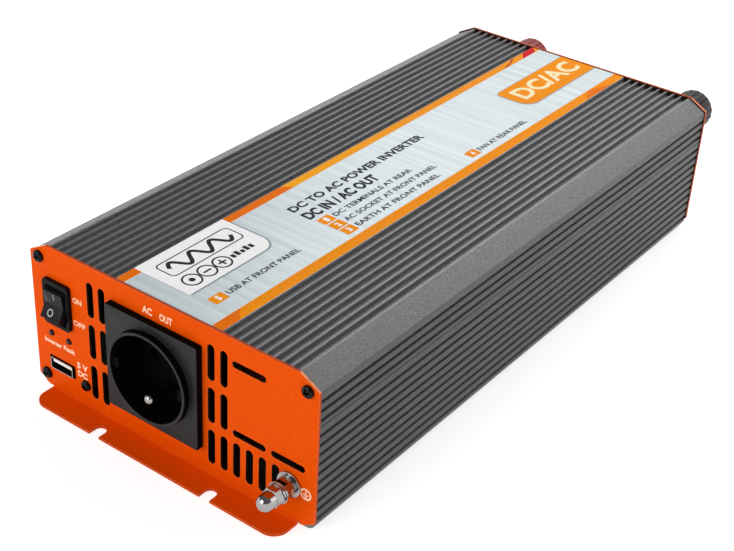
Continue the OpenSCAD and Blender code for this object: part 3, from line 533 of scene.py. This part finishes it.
def block(u0, v0, u1, v1, radii=SQUARE):
    """A rectangle with its own radius at each corner, from low left, anticlockwise."""
    corners = ((u0, v0, 180), (u1, v0, 270), (u1, v1, 0), (u0, v1, 90))
    outline = []
    for (u, v, start), radius in zip(corners, radii):
        middle_u = u + radius * (1 if u == u0 else -1)
        middle_v = v + radius * (1 if v == v0 else -1)
        for step in range(CORNER_STEPS + 1 if radius else 1):
            angle = math.radians(start + 90 * step / CORNER_STEPS)
            aside, above = radius * math.cos(angle), radius * math.sin(angle)
            outline.append((middle_u + aside, middle_v + above))
    return outline


def stroke(points, width):
    """A line of even width along some points, as one outline."""
    left, right = [], []
    for i, (u, v) in enumerate(points):
        before, after = points[max(i - 1, 0)], points[min(i + 1, len(points) - 1)]
        along_u, along_v = after[0] - before[0], after[1] - before[1]
        size = math.hypot(along_u, along_v)
        aside_u, aside_v = -along_v / size * width / 2, along_u / size * width / 2
        left.append((u + aside_u, v + aside_v))
        right.append((u - aside_u, v - aside_v))
    return left + right[::-1]


def sine_line(u0, u1, v, height, periods, steps=72):
    return [(u0 + (u1 - u0) * i / steps, v + height * math.sin(2 * math.pi * periods * i / steps))
            for i in range(steps + 1)]


def printed(color):
    """The finish of one printing ink."""
    name = "ink_" + "_".join(str(round(255 * c)) for c in color)
    return grained(name, color, 0.45, contrast=0.05, relief=0.05, shine=0.02)


# In millimetres: points of a mark closer than this are one point, and a filled curve is this
# thick each way before it is fitted between its sheet's low and high.
WELD_GAP, CURVE_THICK = 0.004, 0.5


class Print:
    """Marks in one ink on one sheet, filled from low to high above it.

    Sheet coordinates are in millimetres: u to the right, v up.
    """

    def __init__(self, name, sheet, low, high, ink, slot, body="housing"):
        self.name, self.sheet, self.low, self.high = name, sheet, low, high
        self.ink, self.slot, self.body = ink, slot, body
        self.mesh = bmesh.new()

    def add_curve(self, data, fit=None):
        """Adds a filled curve as a thin plate, fitted into (left, base, width, height) if given."""
        holder = bpy.data.objects.new("curve", data)
        bpy.context.scene.collection.objects.link(holder)
        bpy.context.view_layer.update()
        graph = bpy.context.evaluated_depsgraph_get()
        flat = bpy.data.meshes.new_from_object(holder.evaluated_get(graph))
        bpy.data.objects.remove(holder)
        points = [v.co for v in flat.vertices]
        u0, u1 = min(p.x for p in points), max(p.x for p in points)
        v0, v1 = min(p.y for p in points), max(p.y for p in points)
        w0, w1 = min(p.z for p in points), max(p.z for p in points)
        left, base, width, height = fit or (u0, v0, u1 - u0, v1 - v0)
        for p in points:
            p.x = left + (p.x - u0) / (u1 - u0) * width
            p.y = base + (p.y - v0) / (v1 - v0) * height
            p.z = self.low if p.z - w0 < (w1 - w0) / 2 else self.high
        self.mesh.from_mesh(flat)
        bpy.data.meshes.remove(flat)

    def shape(self, *outlines):
        """A filled area; an outline inside another cuts a hole."""
        data = bpy.data.curves.new("shape", "CURVE")
        data.dimensions = "2D"
        data.fill_mode = "BOTH"
        data.extrude = CURVE_THICK
        for outline in outlines:
            spline = data.splines.new("POLY")
            spline.points.add(len(outline) - 1)
            for point, (u, v) in zip(spline.points, outline):
                point.co = (u, v, 0, 1)
            spline.use_cyclic_u = True
        self.add_curve(data)

    def words(self, text, left, base, width, cap, weight):
        """Lettering of a given width and height of capitals; weight thickens its lines."""
        data = bpy.data.curves.new("words", "FONT")
        data.body = text
        data.extrude = CURVE_THICK
        data.resolution_u = 3
        data.offset = weight
        self.add_curve(data, (left, base, width, cap))

    def done(self):
        """Makes the piece, once all its marks are in."""
        bmesh.ops.remove_doubles(self.mesh, verts=self.mesh.verts, dist=WELD_GAP)
        bmesh.ops.recalc_face_normals(self.mesh, faces=self.mesh.faces)
        self.mesh.transform(self.sheet @ Matrix.Scale(MM, 4))
        mesh = bpy.data.meshes.new(self.name)
        self.mesh.to_mesh(mesh)
        self.mesh.free()
        mesh.materials.append(self.ink)
        piece = bpy.data.objects.new(self.name, mesh)
        bpy.context.scene.collection.objects.link(piece)
        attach(piece, self.body)


def sheet_matrix(origin, right, up):
    """Places a sheet: its origin, its reading direction and its upward direction."""
    right, up = Vector(right).normalized(), Vector(up).normalized()
    turned = Matrix((right, up, right.cross(up))).transposed().to_4x4()
    return Matrix.Translation(origin) @ turned


PALE_INK = printed((0.95, 0.62, 0.42))
BLACK_INK = printed((0.03, 0.03, 0.035))
WHITE_INK = printed((0.98, 0.98, 0.97))
SILVER_INK = printed((0.72, 0.74, 0.72))
CREAM_INK = printed((0.95, 0.83, 0.5))
AMBER_INK = printed((0.92, 0.29, 0.002))
DEEP_INK = printed((0.84, 0.17, 0.001))
RED_INK = printed((0.62, 0.008, 0.01))
DARK_RED_INK = printed((0.30, 0.006, 0.008))
SHADE_INK = printed((0.30, 0.35, 0.37))
LIGHT_GREY_INK = printed((0.5, 0.52, 0.54))
DULL_GREY_INK = printed((0.27, 0.28, 0.29))


# The front's captions: words, left edge, base line, width, height of capitals and weight.
FRONT_CAPTIONS = (
    ("ON", -53, 51.5, 5.2, 2.6, 0.02),
    ("OFF", -53.3, 40.2, 7, 2.6, 0.02),
    ("AC", -12.6, 64.5, 5.4, 3.4, 0.03),
    ("OUT", -3.3, 64.5, 6.9, 3.4, 0.03),
    ("Inverter", -72, 23.9, 10.4, 2.4, 0.03),
    ("Fault", -60.5, 24.1, 6.7, 2.4, 0.03),
    ("5 V", -52.8, 18.4, 6.4, 3.1, 0.04),
    ("DC", -52.6, 14.3, 5.8, 3.1, 0.04),
)
# The middle of the ring round the earth symbol.
EARTH_SYMBOL = (72.2, 17.4)


def add_front_captions():
    """Captions beside the controls on the front panel, and the earth symbol by its terminal."""
    sheet = sheet_matrix((0, -PANEL_FACE, 0), (1, 0, 0), (0, 0, 1))
    marks = Print("front_captions", sheet, -0.01, 0.04, PALE_INK, "panel_paint")
    for caption in FRONT_CAPTIONS:
        marks.words(*caption)
    u, v = EARTH_SYMBOL
    marks.shape(circle(u, v, 2.75), circle(u, v, 2.05))
    marks.shape(block(u - 0.25, v, u + 0.25, v + 1.7))
    for step, half in enumerate((1.5, 0.95, 0.45)):
        top = v - 0.75 * step
        marks.shape(block(u - half, top - 0.4, u + half, top))
    marks.done()


def surface_at(node, origin, direction):
    """Where a ray meets a CAD node, and the outward normal there."""
    tree = BVHTree.FromPolygons([v.co for v in nodes[node].data.vertices],
                                [p.vertices for p in nodes[node].data.polygons])
    place, normal, _, _ = tree.ray_cast(Vector(origin), Vector(direction))
    return place, normal


def add_rocker_mark(name, aside, lift, ink, *outlines):
    """A mark lying on the rocker's surface, aside and lift millimetres from its middle."""
    low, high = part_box("rocker")
    centre = (low + high) / 2
    start = (centre.x + aside * MM, low.y - 10 * MM, centre.z + lift * MM)
    place, normal = surface_at("rocker", start, (0, 1, 0))
    sheet = sheet_matrix(place, (1, 0, 0), Vector((1, 0, 0)).cross(-normal))
    mark = Print(name, sheet, -0.02, 0.06, ink, "rocker_plastic", "rocker")
    mark.shape(*outlines)
    mark.done()


def add_rocker_marks():
    """The on and off marks, each on its own half of the rocker."""
    bar = block(-0.25, -1.5, 0.25, 1.5, (0.2,) * 4)
    add_rocker_mark("rocker_on_mark", 0.5, 5.1, DULL_GREY_INK, bar)
    add_rocker_mark("rocker_off_mark", -0.7, -2.4, LIGHT_GREY_INK, oval(1.6, 1.7), oval(1.15, 1.25))


# ---------- the printed label ----------

LABEL_LOW, LABEL_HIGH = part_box("top_label")
LABEL_LENGTH = (LABEL_HIGH.y - LABEL_LOW.y) / MM
LABEL_START = ((LABEL_LOW.x + LABEL_HIGH.x) / 2, LABEL_LOW.y, LABEL_HIGH.z)
LABEL_SHEET = sheet_matrix(LABEL_START, (0, 1, 0), (-1, 0, 0))

# Across the label: its printed half width, and the inner and outer edges of both borders.
LABEL_HALF = 28.3
LEFT_IN, LEFT_OUT = 23.85, LABEL_HALF
RIGHT_IN, RIGHT_OUT = -22.85, -LABEL_HALF
PALE_LINE = 0.4
# How deep the label's inks start in it, and how far each level stands out over the last.
INK_SUNK, INK_STEP = -0.01, 0.02
# Along the label: the white tab, the orange tab and the title.
TAB_START, TAB_END, TAB_SIDE = 10, 63, -2.05
RATING_START, RATING_RIGHT, RATING_LEFT = 251.6, -10.65, 9.95
TITLE_START = 88

# The numbered lines: left edge of the tag, base line, words and width of the words.
NUMBERED_LINES = (
    (89, -6.65, "DC TERMINALS AT REAR", 57),
    (89, -12.85, "AC SOCKET AT FRONT PANEL", 68),
    (89, -19.05, "EARTH AT FRONT PANEL", 62),
    (184.7, -19.05, "FAN AT REAR PANEL", 42),
    (12.1, -13.4, "USB AT FRONT PANEL", 44.7),
)
TAG_LENGTH, TAG_HEIGHT, TAG_DROP, TAG_ROUND = 7.6, 5.4, 1.2, 0.4
# How far the words and the digit stand from the tag's left edge.
WORDS_INSET, DIGIT_INSET = 9, 2.8


def gold_fade():
    """Bright yellow-orange that deepens along the label."""
    recipe = Recipe("ink_gold_fade", 0.45, Specular_IOR_Level=0.03)
    start = LABEL_LOW.y + 100 * MM
    ramp = recipe.along("Y", start, start + 120 * MM)
    recipe.color(recipe.mix(ramp, (0.95, 0.40, 0.003), (0.88, 0.29, 0.001)))
    return recipe.bump(recipe.noise(1500, 2), 0.05, 0.03).material


def label_layer(name, level, ink):
    """One ink on the label. A higher level lies over a lower one."""
    return Print("label_" + name, LABEL_SHEET, INK_SUNK, INK_STEP * level, ink, "label_metal")


def label_areas(name, level, ink, *outlines):
    """Plain areas of one ink on the label."""
    layer = label_layer(name, level, ink)
    for outline in outlines:
        layer.shape(outline)
    layer.done()


def add_label_borders():
    """Pale lines and orange bands along both sides, with deeper patches and a red end."""
    label_areas("pale_lines", 1, SILVER_INK,
                block(0, LEFT_IN - PALE_LINE, LABEL_LENGTH, LEFT_IN),
                block(0, RIGHT_IN, LABEL_LENGTH, RIGHT_IN + PALE_LINE))
    label_areas("borders", 1, AMBER_INK, block(0, RIGHT_OUT, LABEL_LENGTH, RIGHT_IN))
    label_areas("left_border", 1, gold_fade(), block(0, LEFT_IN, LABEL_LENGTH, LEFT_OUT))
    label_areas("border_shades", 2, DEEP_INK,
                [(0, LEFT_IN), (106, LEFT_IN), (102, LEFT_OUT), (0, LEFT_OUT)],
                [(0, RIGHT_OUT), (10, RIGHT_OUT), (16, RIGHT_IN), (0, RIGHT_IN)],
                [(289, RIGHT_IN), (306, RIGHT_OUT), (289, RIGHT_OUT), (280, RIGHT_OUT + 1)])
    label_areas("red_block", 3, RED_INK,
                [(300.6, LEFT_IN), (313, LEFT_IN), (LABEL_LENGTH, LEFT_OUT - 0.6),
                 (LABEL_LENGTH, LEFT_OUT), (307.2, LEFT_OUT)])
    slash = stroke([(283.2, 24.2), (287.8, 25.1), (292.6, 26.4), (296.6, 28)], 0.7)
    label_areas("red_slash", 3, DARK_RED_INK, slash)


def add_label_tabs():
    """The white tab at the front and the orange one at the rear, over their soft shadows."""
    label_areas("soft_shadows", 3, SHADE_INK,
                block(TAB_START + 0.8, TAB_SIDE - 0.8, TAB_END + 0.9, LEFT_IN, (0, 8, 0, 0)),
                block(250.9, -11.3, LABEL_LENGTH, 10.3, (8.4, 0, 0, 3.4)))
    label_areas("white_tab", 4, WHITE_INK,
                block(TAB_START, TAB_SIDE, TAB_END, LABEL_HALF, (0, 7.5, 0, 0)))
    label_areas("rating_tab", 4, AMBER_INK,
                block(RATING_START, RATING_RIGHT, LABEL_LENGTH, RATING_LEFT, (8, 0, 0, 3)))


def add_label_text():
    """The title in two lines, and the numbered lines with their tags."""
    tags = label_layer("tags", 2, AMBER_INK)
    captions = label_layer("text", 2, BLACK_INK)
    numbers = label_layer("tag_numbers", 3, WHITE_INK)
    captions.words("DC TO AC POWER INVERTER", TITLE_START, 8.85, 99, 4.7, 0.035)
    captions.words("DC IN / AC OUT", TITLE_START, -0.35, 51, 6.3, 0.045)
    for number, (left, base, text, width) in enumerate(NUMBERED_LINES, 1):
        low = base - TAG_DROP
        captions.words(text, left + WORDS_INSET, base, width, 3, 0.02)
        tags.shape(block(left, low, left + TAG_LENGTH, low + TAG_HEIGHT, (TAG_ROUND,) * 4))
        numbers.words(str(number), left + DIGIT_INSET, base - 0.2, 2.1, 3.4, 0.05)
    for layer in (tags, captions, numbers):
        layer.done()


def add_tab_symbols():
    """A sine wave in a frame, over a dot, a bar and a cross in rings and a row of columns."""
    symbols = label_layer("tab_symbols", 5, BLACK_INK)
    outer, inner = (15.5, 11.35, 59, 22.95), (16.1, 11.95, 58.4, 22.35)
    symbols.shape(block(*outer, (2.5,) * 4), block(*inner, (2,) * 4))
    symbols.shape(stroke(sine_line(19, 55.5, 17.15, 3.4, 3), 1.9))
    row, half_bar, half_line = 4.95, 2.2, 0.5
    for u, kind in ((19, "dot"), (28, "bar"), (37, "cross")):
        symbols.shape(circle(u, row, 4.5), circle(u, row, 3.65))
        if kind == "dot":
            symbols.shape(circle(u, row, 1.4))
        else:
            symbols.shape(block(u - half_bar, row - half_line, u + half_bar, row + half_line))
        if kind == "cross":
            symbols.shape(block(u - half_line, row - half_bar, u + half_line, row + half_bar))
    for i, height in enumerate((2.6, 3.4, 2.2, 3.4, 2.8)):
        left, base = 42.5 + 2.8 * i, 3.4
        symbols.shape(block(left, base, left + 2, base + height))
    symbols.done()


def add_rating_words():
    """The large words on the orange tab."""
    figures = label_layer("rating_symbols", 5, CREAM_INK)
    figures.words("DC/AC", 257.5, -5.35, 56, 11.7, 0.03)
    figures.done()


# ---------- floor and light ----------

STAGE_RADIUS, WALL_HEIGHT, STAGE_SIDES = 6, 2.2, 48
FLOOR_GAP = 0.05 * MM
WORLD_STRENGTH = 0.18
LIT_POINT = (0, 0, 0.04)
# The softboxes: place, width and height in metres, and power in watts.
SOFTBOXES = {
    "front_softbox": ((-0.45, -1.5, 0.95), (1.3, 1.0), 12.4),
    "top_softbox": ((-0.18, 0.7, 0.75), (0.9, 0.7), 6.7),
    "side_softbox": ((0.9, 0.9, 0.6), (0.8, 0.8), 2.9),
}


def studio_white():
    recipe = Recipe("floor_white", 0.8, Specular_IOR_Level=0.1,
                    Emission_Color=(1, 1, 1, 1), Emission_Strength=0.68)
    recipe.color(recipe.mix(recipe.noise(3), (0.7, 0.7, 0.7), (0.72, 0.72, 0.72)))
    return recipe.material


def add_stage():
    """A round pale floor with a low wall round it, just under the case."""
    ring = circle(0, 0, STAGE_RADIUS, STAGE_SIDES)
    points = [(x, y, z) for z in (0, WALL_HEIGHT) for x, y in ring]
    faces = [tuple(range(STAGE_SIDES))]
    for i in range(STAGE_SIDES):
        after = (i + 1) % STAGE_SIDES
        faces.append((i, i + STAGE_SIDES, after + STAGE_SIDES, after))
    mesh = bpy.data.meshes.new("studio_floor")
    mesh.from_pydata(points, [], faces)
    mesh.materials.append(studio_white())
    floor = bpy.data.objects.new("studio_floor", mesh)
    floor.location.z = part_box("lower_shell")[0].z - FLOOR_GAP
    bpy.context.scene.collection.objects.link(floor)


def add_softbox(name, place, size, power):
    data = bpy.data.lights.new(name, "AREA")
    data.shape = "RECTANGLE"
    data.size, data.size_y = size
    data.energy = power
    light = bpy.data.objects.new(name, data)
    light.location = place
    light.rotation_euler = (Vector(LIT_POINT) - Vector(place)).to_track_quat("-Z", "Y").to_euler()
    bpy.context.scene.collection.objects.link(light)


def add_light():
    world = bpy.data.worlds.new("studio_world")
    world.use_nodes = True
    background = world.node_tree.nodes["Background"]
    background.inputs["Color"].default_value = (1, 1, 1, 1)
    background.inputs["Strength"].default_value = WORLD_STRENGTH
    bpy.context.scene.world = world
    for name, (place, size, power) in SOFTBOXES.items():
        add_softbox(name, place, size, power)
    bpy.context.scene.view_settings.view_transform = "Standard"


add_camera()
paint_cad_nodes()
for node_name, edge_width in EDGE_MM.items():
    add_rounded(node_name, edge_width)
add_shutter_spring()
add_front_captions()
add_rocker_marks()
add_label_borders()
add_label_tabs()
add_label_text()
add_tab_symbols()
add_rating_words()
add_stage()
add_light()
